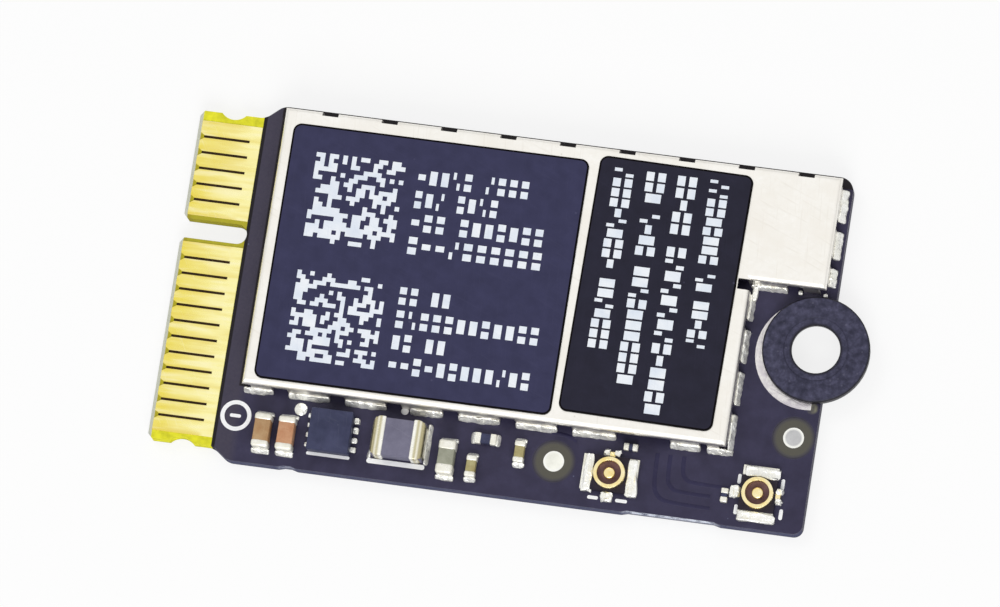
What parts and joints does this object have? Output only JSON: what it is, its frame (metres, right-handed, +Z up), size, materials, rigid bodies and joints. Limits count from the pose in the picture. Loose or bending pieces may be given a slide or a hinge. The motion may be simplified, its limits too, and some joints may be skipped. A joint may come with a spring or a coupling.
{
  "type": "laptop wifi card",
  "caption": "Small dark circuit card with a gold edge connector, an L-shaped metal shield under dark labels, coaxial antenna sockets and a black screw ring.",
  "frame": {"origin": "centre of the bounding box at the underside of the board", "axes": "+X along the card from the contact edge to the screw ring, +Y across it from the antenna sockets to the far edge, +Z up out of the shielded face"},
  "size_m": [0.0326, 0.0168, 0.0022],
  "materials": {
    "board_mask": "dark solder mask, semi-gloss",
    "contact_gold": "gold plate, bright",
    "shield_tin": "tin-plated sheet, satin",
    "solder_tin": "solder, bright",
    "pad_tin": "tinned copper, satin",
    "label_film": "dark printed film",
    "ring_black": "black coating, satin, lightly scuffed",
    "socket_gold": "pale gold plate",
    "socket_moulding": "dark moulded plastic",
    "chip_black": "black moulded package",
    "ceramic_brown": "fired ceramic, brown",
    "ceramic_beige": "fired ceramic, beige",
    "ceramic_tan": "fired ceramic, tan",
    "ferrite_grey": "ferrite, grey",
    "end_tin": "tin-plated ends",
    "lid_metal": "thin metal lid",
    "ceramic_white": "fired ceramic, off-white",
    "print_ink": "pale printed ink on the labels and the board"
  },
  "bodies": {
    "root": {"circuit_board": "board_mask", "edge_contacts_long": "contact_gold", "edge_contacts_short": "contact_gold", "underside_contacts_long": "contact_gold", "underside_contacts_short": "contact_gold", "mount_ground_pad": "pad_tin", "mounting_ring": "ring_black", "shield_can": "shield_tin", "shield_solder_joints": "solder_tin", "main_label": "label_film", "side_label": "label_film", "antenna_socket_a_shell": "socket_gold", "antenna_socket_a_pin": "socket_gold", "antenna_socket_a_base": "socket_moulding", "antenna_socket_b_shell": "socket_gold", "antenna_socket_b_pin": "socket_gold", "antenna_socket_b_base": "socket_moulding", "input_capacitor_one_body": "ceramic_brown", "input_capacitor_one_ends": "end_tin", "input_capacitor_two_body": "ceramic_brown", "input_capacitor_two_ends": "end_tin", "output_capacitor_body": "ceramic_beige", "output_capacitor_ends": "end_tin", "bypass_capacitor_one_body": "ceramic_tan", "bypass_capacitor_one_ends": "end_tin", "bypass_capacitor_two_body": "ceramic_tan", "bypass_capacitor_two_ends": "end_tin", "feedback_resistor_body": "chip_black", "feedback_resistor_ends": "end_tin", "matching_part_one_body": "chip_black", "matching_part_one_ends": "end_tin", "matching_part_two_body": "chip_black", "matching_part_two_ends": "end_tin", "power_inductor_body": "ferrite_grey", "power_inductor_ends": "end_tin", "component_solder_joints": "solder_tin", "regulator_chip": "chip_black", "regulator_leads": "solder_tin", "fiducial_pads": "pad_tin", "test_pad": "pad_tin", "radio_chip": "chip_black", "bluetooth_chip": "chip_black", "front_end_low": "chip_black", "front_end_high": "chip_black", "memory_chip": "chip_black", "band_filter_one": "ceramic_white", "band_filter_two": "ceramic_white", "crystal_base": "ceramic_white", "crystal_lid": "lid_metal", "decoupling_bodies": "ceramic_tan", "decoupling_ends": "end_tin"}
  },
  "joints": []
}
